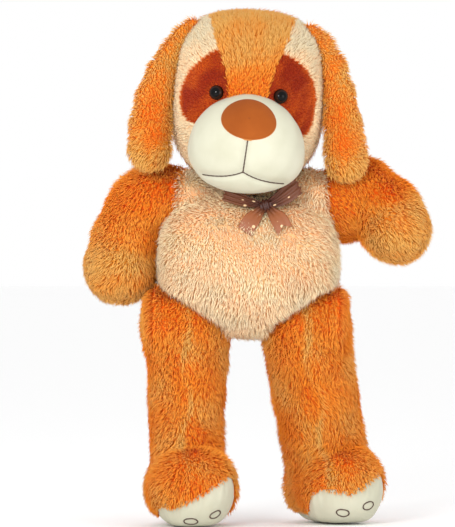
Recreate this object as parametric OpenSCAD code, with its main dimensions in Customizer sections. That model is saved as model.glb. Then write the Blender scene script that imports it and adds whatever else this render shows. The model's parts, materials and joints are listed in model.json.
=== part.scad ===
// Plush dog, standing, with floppy ears, a velboa muzzle and soles, and a ribbon bow.
// Millimetres. +Z is up, the face looks along -Y, and the dog's left side is at +X.
// The origin is under the middle of the whole toy, on the floor.

/* [Fabric] */
// Thickness of the plush cover with its pile pressed flat
cover_t = 4; // [2:0.5:6]
// Gap between a cover and its filling
fill_gap = 0.4; // [0.2:0.1:1]
// Clearance between a limb's round end and the seat it turns in
seat_gap = 0.8; // [0.5:0.1:2]
// Wider room where an arm or the tail leans towards the body as it swings
swing_gap = 3; // [2:0.5:4]

/* [Torso] */
// Width of the torso at its widest level
torso_w = 266; // [220:1:300]
// Height of the torso from crotch to neck seam, and its depth from chest to back
torso_d = 202; // [180:1:206]
// Height of the torso's middle above the floor
torso_mid_z = 383; // [375:1:390]

/* [Neck] */
// Radius of the soft neck between torso and head
neck_r = 46; // [38:1:50]
// Height of the neck's centre above the floor
neck_z = 497; // [495:1:505]

/* [Head] */
// Width and depth of the head without its fur's tips
head_w = 228; // [200:1:236]
// Height of the head from chin to crown
head_h = 260; // [240:1:270]
// Height of the head's centre above the floor
head_z = 620; // [618:1:640]
// How far the head sits in front of the torso's middle
head_forward = 12; // [5:1:20]
// Sideways lean of the head
head_lean = 3.5; // [0:0.5:6]

/* [Muzzle] */
// Width of the muzzle
muzzle_w = 166; // [140:1:180]
// Height of the muzzle, which is round from the side
muzzle_h = 138; // [120:1:140]
// Reach of the muzzle's tip in front of the head's middle
muzzle_reach = 160; // [145:1:175]
// Drop of the muzzle's centre below the head's centre
muzzle_drop = 67; // [60:1:70]
// Width of the brown nose patch
nose_w = 82; // [60:1:90]
// Height of the brown nose patch
nose_h = 60; // [40:1:64]
// Rise of the nose patch's centre above the muzzle's centre
nose_rise = 36; // [30:1:40]

/* [Eyes] */
// Diameter of a safety eye
eye_dia = 21; // [15:0.5:24]
// Distance between the two eyes
eye_spacing = 90; // [80:1:100]
// Height of the eyes above the head's centre
eye_rise = 5; // [0:1:12]
// Diameter of an eye's stem
eye_stem_dia = 5; // [4:0.5:6]
// Diameter of the washer that locks an eye's stem
eye_washer_dia = 20; // [14:1:24]

/* [Ears] */
// Length of an ear below its sewn root
ear_length = 188; // [140:1:192]
// Width of an ear near its lower end
ear_w = 66; // [50:1:80]
// Thickness of one of the two plush layers of an ear
ear_layer_t = 13; // [8:1:15]
// Distance of an ear's root from the head's middle
ear_root_x = 99; // [96:1:104]
// Height of an ear's root above the head's centre
ear_root_rise = 88; // [80:1:92]

/* [Arms] */
// Radius of an arm at the shoulder
shoulder_r = 45; // [38:1:46]
// Radius of an arm at the elbow
elbow_r = 45; // [38:1:46]
// Radius of the hand
hand_r = 47; // [38:1:48]
// Height of the shoulders above the floor
shoulder_z = 463; // [450:1:465]
// Distance of the shoulders behind the torso's middle
shoulder_back = 22; // [10:1:30]

/* [Legs] */
// Radius of a leg at the hip
hip_r = 60; // [50:1:62]
// Radius of a leg at the ankle
ankle_r = 56; // [46:1:60]
// Height of the hips above the floor
hip_z = 286; // [280:1:292]
// Height of the ankle above the floor
ankle_z = 92; // [85:1:110]

/* [Feet] */
// Radius of the heel
heel_r = 57; // [50:1:60]
// Radius of the toes
toe_r = 65; // [58:1:70]
// Distance from the heel's centre to the toes' centre
foot_reach = 46; // [30:1:60]
// Height of the foot's middle line above the floor
foot_mid_z = 55; // [50:1:56]
// Height of the sole's edge at the toes
sole_front_z = 44; // [30:1:50]
// Height of the sole's edge at the heel
sole_heel_z = 16; // [10:1:24]

/* [Tail] */
// Radius of the tail at its root
tail_root_r = 19; // [15:1:22]
// Radius of the tail's tip
tail_tip_r = 14; // [10:1:18]
// Length from the tail's root to its tip's centre
tail_length = 56; // [40:1:70]

/* [Ribbon] */
// Width of the ribbon
ribbon_w = 25; // [20:1:30]
// Thickness of the gathered ribbon
ribbon_t = 1.2; // [0.8:0.1:2]
// Length of one loop of the bow
loop_length = 46; // [30:1:50]
// Length of one hanging end of the bow
ribbon_end_length = 44; // [30:1:60]

/* [Hidden] */
$fn = 64;

tan = "peru";
orange = "chocolate";
rust = "sienna";
cream = "bisque";
white = "whitesmoke";
brown = "saddlebrown";
thread = "dimgray";
filling = "ivory";

big = 900;

// Shift that puts the origin under the middle of the whole toy
middle_x = -14;
middle_y = 9;

// Poses: the two arms and the two legs rest differently, as a soft toy's do
left = 1;
right = -1;
function side_value(side, for_left, for_right) = side == left ? for_left : for_right;
function shoulder_at(side) = [side_value(side, 141, -138), shoulder_back, shoulder_z];
function elbow_at(side) = shoulder_at(side) + side_value(side, [45, -4, 0], [-38, -4, -15]);
function hand_at(side) = elbow_at(side) + side_value(side, [34, -34, -38], [-14, -6, -74]);
function hip_at(side) = [side_value(side, 82, -88), side_value(side, 4, 0), hip_z];
function ankle_at(side) = [side_value(side, 115, -89), side_value(side, 27, -32), ankle_z];
function foot_turn(side) = side_value(side, 26, 12);
function heel_at(side) = [ankle_at(side).x, ankle_at(side).y + 12, foot_mid_z];
function toe_at(side) = heel_at(side)
    + foot_reach * [sin(foot_turn(side)), -cos(foot_turn(side)), 0];

neck_at = [0, 5, neck_z];
ankle_seam_rise = 34;
torso_seam_y = 6;
side_seam_back = 3;
tail_rise = -48;
tail_drop_angle = 20;

// Half outline of an egg about the Z axis: a squareness of 2 is an ellipse, more is fuller
function egg_points(r, half_h, squareness, steps) = [
    for (i = [-steps : steps])
        let (
            angle = 90 * i / steps,
            c = abs(i) == steps ? 0 : pow(cos(angle), 2 / squareness),
            s = pow(abs(sin(angle)), 2 / squareness)
        )
        [r * c, sign(angle) * half_h * s]
];

// Distance of the torso's back surface behind its middle, at a height above the middle
function torso_surface(rise) = sqrt(pow(torso_d / 2, 2) - pow(rise, 2));

tail_at = [0, torso_surface(tail_rise) - 7, torso_mid_z + tail_rise];
knot_rise = 79;
knot_gap = 13;
knot_at = [25, -torso_surface(knot_rise) - knot_gap, torso_mid_z + knot_rise];

// Half outline of a round-ended limb that starts at the origin and points up
module limb_outline(long, from_r, to_r) {
    lean = acos((from_r - to_r) / long);
    steps = 7;
    from_end = [for (i = [1 : steps]) let (a = -90 + (180 - lean) * i / steps) from_r * [cos(a), sin(a)]];
    to_end = [
        for (i = [0 : steps - 1])
            let (a = 90 - lean + lean * i / steps)
                [0, long] + to_r * [cos(a), sin(a)]
    ];
    polygon(concat([[0, -from_r]], from_end, to_end, [[0, long + to_r]]));
}

// Puts what points up from the origin onto the line from one point to another
module along(from, to) {
    span = to - from;
    translate(from)
        rotate([0, atan2(norm([span.x, span.y]), span.z), atan2(span.y, span.x)])
            children();
}

// A round-ended limb from one point to another, with its own radius at each end
module limb(from, to, from_r, to_r) {
    along(from, to)
        rotate_extrude()
            limb_outline(norm(to - from), from_r, to_r);
}

// Everything on the given side of a level or upright plane
module below(z) {
    translate([-big / 2, -big / 2, z - big])
        cube(big);
}

module in_front_of(y) {
    translate([-big / 2, y - big, -big / 4])
        cube(big);
}

// ---- Torso ----

module torso_egg(shrink) {
    translate([0, 0, torso_mid_z])
        rotate([0, 90, 0])
            rotate_extrude()
                polygon(egg_points(torso_d / 2 - shrink, torso_w / 2 - shrink, 3.5, 9));
}

// Room that a leg sweeps through as it swings forward to sit
module leg_room(side, grow) {
    hip = hip_at(side);
    room = hip_r + seat_gap + grow;
    inner_x = side * (abs(hip.x) - room);
    outer_x = side * big / 4;
    low_x = min(inner_x, outer_x);
    wide = abs(outer_x - inner_x);
    translate(hip)
        sphere(r = room);
    translate([low_x, -big / 2, 0])
        cube([wide, big, hip_z + hip_r / 2 + grow]);
    translate([low_x, -big / 2, 0])
        cube([wide, big / 2 + hip.y, hip_z + room]);
}

module torso_seats(grow) {
    for (side = [left, right]) {
        leg_room(side, grow);
        translate(shoulder_at(side))
            sphere(r = shoulder_r + swing_gap + grow);
    }
    translate(neck_at)
        sphere(r = neck_r + seat_gap + grow);
    translate(tail_at)
        sphere(r = tail_root_r + swing_gap + grow);
}

module torso_shell() {
    difference() {
        torso_egg(0);
        torso_egg(cover_t);
        torso_seats(0);
    }
}

module belly_cover() {
    color(cream)
        intersection() {
            torso_shell();
            in_front_of(torso_seam_y);
        }
}

module back_cover() {
    color(orange)
        difference() {
            torso_shell();
            in_front_of(torso_seam_y);
        }
}

module torso_stuffing() {
    color(filling)
        difference() {
            torso_egg(cover_t + fill_gap);
            torso_seats(0);
        }
}

// Hand stitches that close the back after filling
module closing_stitches() {
    stitches = 14;
    pitch = 8;
    below_middle = 3;
    color(thread)
        for (i = [0 : stitches - 1])
            translate([0, 0, torso_mid_z])
                rotate([asin(pitch * (i - below_middle) / torso_d * 2), 0, 0])
                    translate([0, torso_d / 2 - 0.4, 0])
                        rotate([0, i % 2 == 0 ? 65 : 115, 0])
                            cylinder(h = 9, r = 0.9, center = true);
}

module neck_stuffing() {
    color(filling)
        translate(neck_at)
            sphere(r = neck_r);
}

// ---- Head ----

module on_head() {
    translate([0, -head_forward, head_z])
        rotate([0, head_lean, 0])
            children();
}

module head_egg(shrink) {
    r = head_w / 2 - shrink;
    rotate_extrude()
        polygon(egg_points(r, head_h / 2 - shrink, 2.1, 10));
}

muzzle_middle_y = -(muzzle_reach - muzzle_h / 2);
muzzle_squareness = 2.3;

module muzzle_egg(shrink) {
    translate([0, muzzle_middle_y, -muzzle_drop])
        rotate([0, 90, 0])
            rotate_extrude()
                polygon(egg_points(muzzle_h / 2 - shrink, muzzle_w / 2 - shrink, muzzle_squareness, 8));
}

// Neck seat, cut in the head's own frame
module head_seat() {
    rotate([0, -head_lean, 0])
        translate([0, head_forward, -head_z])
            translate(neck_at)
                sphere(r = neck_r + seat_gap);
}

module front_prism(points) {
    rotate([90, 0, 0])
        linear_extrude(big / 4)
            polygon(points);
}

// Outline of the crown panel, seen from the front: a wedge down to the muzzle
crown_points = [[-27, -30], [27, -30], [27, 12], [34, 36], [45, 64], [60, 100], [60, 140],
    [-60, 140], [-60, 100], [-45, 64], [-34, 36], [-27, 12]];

// Outline of one eye patch, seen from the front, from the crown panel out to the cheek
patch_points = [[27, 12], [34, 36], [44, 59], [58, 60], [80, 43], [95, 18], [99, -9],
    [94, -32], [84, -48], [60, -60], [27, -30]];

module crown_prism() {
    front_prism(crown_points);
}

module patch_prism(side) {
    front_prism([for (p = patch_points) [side * p.x, p.y]]);
}

module head_shell() {
    difference() {
        head_egg(0);
        head_egg(cover_t);
        muzzle_egg(0);
        head_seat();
        for (side = [left, right])
            eye_axis(side)
                cylinder(h = 80, r = eye_stem_dia / 2 + 0.1, center = true);
    }
}

module half_space(side) {
    translate([side == left ? 0 : -big / 4, -big / 2, -big / 2])
        cube([big / 4, big, big]);
}

// Back half of the head, and the crown in front of it
head_seam_y = 4;

module crown_cover() {
    color(tan)
        on_head()
            intersection() {
                head_shell();
                crown_prism();
                in_front_of(head_seam_y);
            }
}

module head_back_cover() {
    color(orange)
        on_head()
            difference() {
                head_shell();
                translate([-big / 2, head_seam_y - big, -big / 2])
                    cube(big);
            }
}

module cheek_cover(side) {
    color(cream)
        on_head()
            difference() {
                intersection() {
                    head_shell();
                    half_space(side);
                    translate([-big / 2, head_seam_y - big, -big / 2])
                        cube(big);
                }
                crown_prism();
                patch_prism(side);
            }
}

module eye_patch(side) {
    color(rust)
        on_head()
            difference() {
                intersection() {
                    head_shell();
                    patch_prism(side);
                }
                crown_prism();
            }
}

nose_centre = [0, nose_rise - muzzle_drop];

module nose_prism() {
    rotate([90, 0, 0])
        translate([nose_centre.x, nose_centre.y, 0])
            linear_extrude(big / 4)
                polygon([for (i = [0 : 15]) [nose_w / 2 * cos(i * 22.5), nose_h / 2 * sin(i * 22.5)]]);
}

module muzzle_shell() {
    difference() {
        muzzle_egg(0);
        muzzle_egg(cover_t);
        head_egg(0);
    }
}

module muzzle_cover() {
    color(white)
        on_head()
            difference() {
                muzzle_shell();
                nose_prism();
            }
}

module nose_patch() {
    color(brown)
        on_head()
            intersection() {
                muzzle_shell();
                nose_prism();
            }
}

module muzzle_stuffing() {
    color(filling)
        on_head()
            difference() {
                muzzle_egg(cover_t + fill_gap);
                head_egg(cover_t);
            }
}

// Depth of the muzzle's surface behind a point seen from the front
function muzzle_r(x) =
    let (across = pow(abs(x) / (muzzle_w / 2), muzzle_squareness))
        muzzle_h / 2 * pow(1 - across, 1 / muzzle_squareness);
function muzzle_y(x, z) = muzzle_middle_y - sqrt(max(0, pow(muzzle_r(x), 2) - pow(z + muzzle_drop, 2)));
function on_muzzle(p) = [p.x, muzzle_y(p.x, p.y), p.y];

mouth_top = [0, nose_centre.y - nose_h / 2];
mouth_mid = [0, mouth_top.y - 46];
mouth_end = [52, mouth_mid.y - 3];
thread_r = 1;

// One sewn line on the muzzle, sagging between its two ends
module mouth_line(a, b, sag) {
    steps = 6;
    line = [
        for (i = [0 : steps])
            let (t = i / steps)
                on_muzzle(a + t * (b - a) - [0, 4 * sag * t * (1 - t)])
    ];
    for (i = [0 : steps - 1])
        hull() {
            translate(line[i])
                sphere(r = thread_r, $fn = 8);
            translate(line[i + 1])
                sphere(r = thread_r, $fn = 8);
        }
}

module mouth_thread() {
    color(thread)
        on_head() {
            mouth_line(mouth_top, mouth_mid, 0);
            for (side = [left, right])
                mouth_line(mouth_mid, [side * mouth_end.x, mouth_end.y], 8);
        }
}

// Frame of one eye: its centre on the head's surface, looking out along +Z
eye_turn = asin(eye_spacing / head_w);

module eye_axis(side) {
    rotate([0, 0, side * eye_turn])
        translate([0, -head_w / 2 - 0.1, eye_rise])
            rotate([90, 0, 0])
                children();
}

stem_length = 20;
washer_t = 2;
washer_depth = cover_t + 1;

module eye(side) {
    color("black")
        on_head()
            eye_axis(side) {
                intersection() {
                    sphere(r = eye_dia / 2);
                    translate([0, 0, big / 8])
                        cube(big / 4, center = true);
                }
                translate([0, 0, -stem_length])
                    cylinder(h = stem_length + 1, d = eye_stem_dia);
            }
}

module eye_washer(side) {
    color("lightgray")
        on_head()
            eye_axis(side)
                translate([0, 0, -washer_depth - washer_t])
                    difference() {
                        cylinder(h = washer_t, d = eye_washer_dia);
                        translate([0, 0, -1])
                            cylinder(h = washer_t + 2, r = eye_stem_dia / 2 + 0.02);
                    }
}

module head_stuffing() {
    color(filling)
        on_head()
            difference() {
                head_egg(cover_t + fill_gap);
                head_seat();
                for (side = [left, right])
                    eye_axis(side)
                        translate([0, 0, -stem_length - 2])
                            cylinder(h = stem_length + 2, d = eye_washer_dia + 1);
            }
}

// ---- Ears ----

// Outline of one ear hanging below its root, with the root at the origin
ear_outline = [[-8, -5], [-6, 6], [4, 9], [19, -8], [54, -80], [70, -150],
    [72, 12 - ear_length], [58, -ear_length], [72 - ear_w + 14, -ear_length],
    [72 - ear_w, 12 - ear_length], [72 - ear_w, -150], [6, -80], [-4, -40]];
ear_twist = 14;
ear_forward = 22;

module ear_layer(side, front) {
    on_head()
        difference() {
            translate([side * ear_root_x, -ear_forward, ear_root_rise])
                rotate([0, 0, side * ear_twist])
                    translate([0, front ? 0 : ear_layer_t, 0])
                        rotate([90, 0, 0])
                            linear_extrude(ear_layer_t)
                                polygon([for (p = ear_outline) [side * p.x, p.y]]);
            head_egg(-1.2);
        }
}

module ear_cover(side) {
    color(orange)
        ear_layer(side, true);
}

module ear_lining(side) {
    color(tan)
        ear_layer(side, false);
}

// ---- Arms ----

module arm_form(side, shrink) {
    limb(shoulder_at(side), elbow_at(side), shoulder_r - shrink, elbow_r - 1 - shrink);
    limb(elbow_at(side), hand_at(side), elbow_r - shrink, hand_r - shrink);
}

module arm_shell(side) {
    difference() {
        arm_form(side, 0);
        arm_form(side, cover_t);
    }
}

module arm_front_cover(side) {
    color(orange)
        intersection() {
            arm_shell(side);
            in_front_of(elbow_at(side).y);
        }
}

module arm_back_cover(side) {
    color(tan)
        difference() {
            arm_shell(side);
            in_front_of(elbow_at(side).y);
        }
}

module arm_stuffing(side) {
    color(filling)
        arm_form(side, cover_t + fill_gap);
}

// ---- Legs and feet ----

module leg_outline(side, shrink) {
    limb_outline(norm(hip_at(side) - ankle_at(side)), ankle_r - shrink, hip_r - shrink);
}

// The leg's cover above the ankle seam, which runs square round the leg
module upper_shell(side) {
    along(ankle_at(side), hip_at(side))
        rotate_extrude()
            difference() {
                leg_outline(side, 0);
                leg_outline(side, cover_t);
                translate([0, ankle_seam_rise - big])
                    square(big);
            }
}

// The foot with the leg's lower end in it, up to a distance from the ankle
module foot_form(side, shrink, rise) {
    difference() {
        union() {
            along(ankle_at(side), hip_at(side))
                rotate_extrude()
                    intersection() {
                        leg_outline(side, shrink);
                        translate([0, rise - big])
                            square(big);
                    }
            limb(heel_at(side), toe_at(side), heel_r - shrink, toe_r - shrink);
        }
        below(shrink);
    }
}

module foot_shell(side) {
    difference() {
        foot_form(side, 0, ankle_seam_rise);
        foot_form(side, cover_t, ankle_seam_rise + 1);
    }
}

// Everything under the edge where the plush ends and the sole begins
module under_sole_edge(side) {
    reach = heel_r + foot_reach + toe_r;
    slope = atan((sole_front_z - sole_heel_z) / reach);
    translate([heel_at(side).x, heel_at(side).y, 0])
        rotate([0, 0, foot_turn(side)])
            translate([0, heel_r, sole_heel_z])
                rotate([-slope, 0, 0])
                    translate([-big / 4, -big / 2, -big / 4])
                        cube([big / 2, big, big / 4]);
}

module sole(side) {
    color(white)
        intersection() {
            foot_shell(side);
            under_sole_edge(side);
        }
}

module foot_cover(side) {
    color(orange)
        difference() {
            foot_shell(side);
            under_sole_edge(side);
        }
}

module leg_front_cover(side) {
    color(orange)
        intersection() {
            upper_shell(side);
            leg_front_space(side);
        }
}

module leg_back_cover(side) {
    color(tan)
        difference() {
            upper_shell(side);
            leg_front_space(side);
        }
}

// Everything in front of the side seams, which follow the leg's own slope
module leg_front_space(side) {
    drop = hip_at(side) - ankle_at(side);
    translate(hip_at(side) + [0, side_seam_back, 0])
        rotate([-atan(drop.y / drop.z), 0, 0])
            translate([-big / 4, -big / 2, -big / 2])
                cube([big / 2, big / 2, big]);
}

module leg_stuffing(side) {
    shrink = cover_t + fill_gap;
    color(filling)
        difference() {
            union() {
                limb(ankle_at(side), hip_at(side), ankle_r - shrink, hip_r - shrink);
                limb(heel_at(side), toe_at(side), heel_r - shrink, toe_r - shrink);
            }
            below(shrink);
        }
}

// Sewn toe marks: ovals of thread on the front of the sole
toe_mark_turns = [2, 32];
toe_mark_drop = 38;
toe_mark_r = 7.5;
toe_mark_stretch = 1.5;

module toe_threads(side) {
    color(thread)
        for (turn = toe_mark_turns)
            translate(toe_at(side))
                rotate([0, 0, turn + foot_turn(side) / 2])
                    rotate([90 + toe_mark_drop, 0, 0])
                        translate([0, 0, toe_r - 0.4])
                            scale([toe_mark_stretch, 1, 1])
                                rotate_extrude()
                                    translate([toe_mark_r, 0])
                                        circle(r = thread_r, $fn = 16);
}

// ---- Tail ----

module tail_form(shrink) {
    tip = tail_at + tail_length * [0, cos(tail_drop_angle), -sin(tail_drop_angle)];
    limb(tail_at, tip, tail_root_r - shrink, tail_tip_r - shrink);
}

module tail_cover() {
    color(tan)
        difference() {
            tail_form(0);
            tail_form(cover_t);
        }
}

module tail_stuffing() {
    color(filling)
        tail_form(cover_t + fill_gap);
}

// ---- Ribbon ----

band_gather = 5;
band_r = neck_r + 1.4 + band_gather / 2;
band_low = torso_mid_z + torso_d / 2 + 1.5;
band_h = 6;
knot_w = 18;
knot_h = 18;
knot_d = 12;

// Thin strip of ribbon from one point to another, flat to the front
module ribbon_strip(from, to, wide) {
    along(from, to)
        translate([-ribbon_t / 2, -wide / 2, 0])
            cube([ribbon_t, wide, norm(to - from)]);
}

module ribbon_band() {
    color(brown) {
        translate([neck_at.x, neck_at.y, band_low])
            rotate_extrude()
                translate([band_r - band_gather / 2, 0])
                    square([band_gather, band_h]);
        ribbon_strip([knot_at.x - 8, neck_at.y - band_r + 4, band_low + 2], knot_at + [-1, 2, 6], 12);
    }
}

module ribbon_knot() {
    color(brown)
        translate(knot_at)
            scale([knot_w / 2, knot_d / 2, knot_h / 2])
                sphere(r = 1);
}

// One loop of the bow: the ribbon folded back on itself
module ribbon_loop(side) {
    fold_t = 7;
    lean = side_value(side, 10, -6);
    color(brown)
        translate(knot_at)
            rotate([0, -lean, 0])
                translate([side * (knot_w / 2 - 1 + loop_length / 2), -1, 1])
                    linear_extrude(ribbon_w - 6, center = true)
                        difference() {
                            ribbon_fold(fold_t);
                            ribbon_fold(fold_t - 2 * ribbon_t);
                        }
}

module ribbon_fold(thick) {
    straight = loop_length - 7;
    square([straight, thick], center = true);
    for (x = [-1, 1])
        translate([x * straight / 2, 0])
            circle(d = thick);
}

// One hanging end of the bow, cut with a notch
module ribbon_end(side) {
    notch = 8;
    hang = side_value(side, 28, -24);
    slope = 36;
    color(brown)
        translate(knot_at + [side * 2, -3, -5])
            rotate([-slope, 0, 0])
                rotate([90, 0, 0])
                    rotate([0, 0, hang])
                        linear_extrude(ribbon_t, center = true)
                            polygon([[-5, 0], [5, 0], [ribbon_w / 2, -ribbon_end_length],
                                [0, notch - ribbon_end_length], [-ribbon_w / 2, -ribbon_end_length]]);
}

module placed() {
    translate([middle_x, middle_y, 0])
        children();
}

placed() belly_cover();
placed() back_cover();
placed() torso_stuffing();
placed() closing_stitches();
placed() neck_stuffing();
placed() crown_cover();
placed() head_back_cover();
placed() cheek_cover(left);  // cheek_cover_left
placed() cheek_cover(right);  // cheek_cover_right
placed() eye_patch(left);  // eye_patch_left
placed() eye_patch(right);  // eye_patch_right
placed() muzzle_cover();
placed() nose_patch();
placed() mouth_thread();
placed() eye(left);  // eye_left
placed() eye(right);  // eye_right
placed() eye_washer(left);  // eye_washer_left
placed() eye_washer(right);  // eye_washer_right
placed() head_stuffing();
placed() muzzle_stuffing();
placed() ear_cover(left);  // ear_cover_left
placed() ear_lining(left);  // ear_lining_left
placed() ear_cover(right);  // ear_cover_right
placed() ear_lining(right);  // ear_lining_right
placed() arm_front_cover(left);  // arm_front_cover_left
placed() arm_back_cover(left);  // arm_back_cover_left
placed() arm_stuffing(left);  // arm_stuffing_left
placed() arm_front_cover(right);  // arm_front_cover_right
placed() arm_back_cover(right);  // arm_back_cover_right
placed() arm_stuffing(right);  // arm_stuffing_right
placed() leg_front_cover(left);  // leg_front_cover_left
placed() leg_back_cover(left);  // leg_back_cover_left
placed() foot_cover(left);  // foot_cover_left
placed() sole(left);  // sole_left
placed() toe_threads(left);  // toe_threads_left
placed() leg_stuffing(left);  // leg_stuffing_left
placed() leg_front_cover(right);  // leg_front_cover_right
placed() leg_back_cover(right);  // leg_back_cover_right
placed() foot_cover(right);  // foot_cover_right
placed() sole(right);  // sole_right
placed() toe_threads(right);  // toe_threads_right
placed() leg_stuffing(right);  // leg_stuffing_right
placed() tail_cover();
placed() tail_stuffing();
placed() ribbon_band();
placed() ribbon_knot();
placed() ribbon_loop(left);  // ribbon_loop_left
placed() ribbon_loop(right);  // ribbon_loop_right
placed() ribbon_end(left);  // ribbon_end_left
placed() ribbon_end(right);  // ribbon_end_right
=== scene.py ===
import bpy
import json
import math
import numpy as np
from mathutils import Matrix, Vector


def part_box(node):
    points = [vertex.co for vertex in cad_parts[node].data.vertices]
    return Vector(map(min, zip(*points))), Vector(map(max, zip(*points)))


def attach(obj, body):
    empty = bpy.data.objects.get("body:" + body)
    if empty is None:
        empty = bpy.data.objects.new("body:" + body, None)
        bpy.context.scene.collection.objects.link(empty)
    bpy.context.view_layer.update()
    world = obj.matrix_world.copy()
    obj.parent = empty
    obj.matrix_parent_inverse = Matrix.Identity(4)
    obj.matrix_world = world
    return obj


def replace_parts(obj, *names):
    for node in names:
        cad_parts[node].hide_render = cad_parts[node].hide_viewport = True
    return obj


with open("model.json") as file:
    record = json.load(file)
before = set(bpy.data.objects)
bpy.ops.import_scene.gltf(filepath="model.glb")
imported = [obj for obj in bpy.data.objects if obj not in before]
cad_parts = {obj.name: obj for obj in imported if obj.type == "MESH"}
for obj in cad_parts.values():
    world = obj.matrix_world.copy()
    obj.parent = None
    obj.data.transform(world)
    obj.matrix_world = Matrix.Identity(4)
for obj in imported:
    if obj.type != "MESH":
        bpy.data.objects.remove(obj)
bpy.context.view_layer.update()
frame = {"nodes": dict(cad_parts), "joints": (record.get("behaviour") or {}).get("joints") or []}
joints = {j["name"]: np.array(j["pos_m"]) for j in frame["joints"]}
mm = 0.001
left, right = 1, -1
sideName = {left: "left", right: "right"}


def nodeBox(node):
    low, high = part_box(node)
    return np.array(low), np.array(high)


def nodeMiddle(node):
    low, high = nodeBox(node)
    return (low + high) / 2


def smooth(x):
    x = np.clip(x, 0, 1)
    return x * x * (3 - 2 * x)


def unit(v):
    return v / np.maximum(np.linalg.norm(v, axis=-1, keepdims=True), 1e-9)


def ripple(points, size, seed, octaves=2):
    # soft random waves from -1 to 1, about size metres from crest to crest
    total = np.zeros(len(points))
    draw = np.random.default_rng(seed)
    strength = 1.0
    for octave in range(octaves):
        for wave in range(4):
            direction = unit(draw.normal(size=3))
            stretch = draw.uniform(0.7, 1.4)
            phase = draw.uniform(0, 6.3)
            total += strength * np.sin(points @ direction * 2 * math.pi * stretch / size + phase)
        size *= 0.5
        strength *= 0.6
    return np.clip(total / 3, -1, 1)


# ---- shapes as distance functions: below zero is inside ----

def ball(p, middle, radii):
    q = (p - np.array(middle)) / np.array(radii)
    near = np.linalg.norm(q, axis=-1)
    steep = np.linalg.norm(q / np.array(radii), axis=-1)
    return near * (near - 1) / np.maximum(steep, 1e-6)


def softBox(p, middle, radii, fullness):
    # an ellipsoid whose sides are fuller than round ones
    q = np.abs(p - np.array(middle)) / np.array(radii)
    return (np.sum(q ** fullness, axis=-1) ** (1 / fullness) - 1) * float(np.mean(radii))


def tube(p, points, radii, squash=(1, 1, 1)):
    squash = np.array(squash)
    p = p / squash
    points = np.array(points) / squash
    total = None
    for a, b, ra, rb in zip(points[:-1], points[1:], radii[:-1], radii[1:]):
        span = b - a
        t = np.clip((p - a) @ span / (span @ span), 0, 1)
        d = np.linalg.norm(p - a - t[:, None] * span, axis=-1) - (ra + t * (rb - ra))
        total = d if total is None else join(total, d, 8 * mm)
    return total


def join(a, b, soft):
    h = np.clip(0.5 + 0.5 * (b - a) / soft, 0, 1)
    return b + (a - b) * h - soft * h * (1 - h)


def carve(a, b, soft):
    return -join(-a, b, soft)


def slope(shape, p, reach=0.5 * mm):
    parts = []
    for axis in range(3):
        step = np.zeros(3)
        step[axis] = reach
        parts.append(shape(p + step) - shape(p - step))
    return unit(np.stack(parts, axis=-1))


def skin(shape, low, high, step):
    # surface nets: one point in each grid cell that the surface crosses, joined into quads
    sides = [np.arange(a, b + step, step) for a, b in zip(low, high)]
    grid = np.stack(np.meshgrid(*sides, indexing="ij"), axis=-1)
    depth = shape(grid.reshape(-1, 3)).reshape(grid.shape[:3])
    inside = depth < 0
    cells = np.array(depth.shape) - 1
    total = np.zeros((*cells, 3))
    count = np.zeros(tuple(cells))
    edges = []
    for axis in range(3):
        head = [slice(None)] * 3
        tail = [slice(None)] * 3
        head[axis] = slice(0, -1)
        tail[axis] = slice(1, None)
        head, tail = tuple(head), tuple(tail)
        crossed = inside[head] != inside[tail]
        where = np.argwhere(crossed)
        d0 = depth[head][crossed]
        d1 = depth[tail][crossed]
        place = grid[head][crossed].copy()
        place[:, axis] += step * d0 / (d0 - d1)
        others = [a for a in range(3) if a != axis]
        for i in (0, 1):
            for j in (0, 1):
                cell = where.copy()
                cell[:, others[0]] -= i
                cell[:, others[1]] -= j
                ok = np.all((cell >= 0) & (cell < cells), axis=1)
                np.add.at(total, tuple(cell[ok].T), place[ok])
                np.add.at(count, tuple(cell[ok].T), 1)
        edges.append((axis, others, where, inside[head][crossed]))
    used = count > 0
    index = np.full(tuple(cells), -1)
    index[used] = np.arange(used.sum())
    points = total[used] / count[used][:, None]
    quads = []
    for axis, others, where, starts in edges:
        corners = []
        for i, j in ((0, 0), (1, 0), (1, 1), (0, 1)):
            cell = where.copy()
            cell[:, others[0]] -= i
            cell[:, others[1]] -= j
            ok = np.all((cell >= 0) & (cell < cells), axis=1)
            found = np.full(len(cell), -1)
            found[ok] = index[tuple(cell[ok].T)]
            corners.append(found)
        quad = np.stack(corners, axis=1)
        flip = starts if axis != 1 else ~starts
        quad[flip] = quad[flip][:, ::-1]
        quads.append(quad[np.all(quad >= 0, axis=1)])
    quads = np.concatenate(quads)
    for turn in range(2):
        points = points - slope(shape, points) * shape(points)[:, None]
    return points, quads


# ---- meshes ----

def thicken(points, quads, outward, thickness):
    # a closed sheet: the same faces inside, and a rim along the open edges
    count = len(points)
    inner = points - outward * thickness
    edges = np.concatenate([quads[:, [i, (i + 1) % 4]] for i in range(4)])
    keys = np.sort(edges, axis=1)
    first, times = np.unique(keys, axis=0, return_index=True, return_counts=True)[1:]
    rim = edges[first[times == 1]]
    sides = np.stack([rim[:, 1], rim[:, 0], rim[:, 0] + count, rim[:, 1] + count], axis=1)
    return np.concatenate([points, inner]), np.concatenate([quads, quads[:, ::-1] + count, sides])


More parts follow.
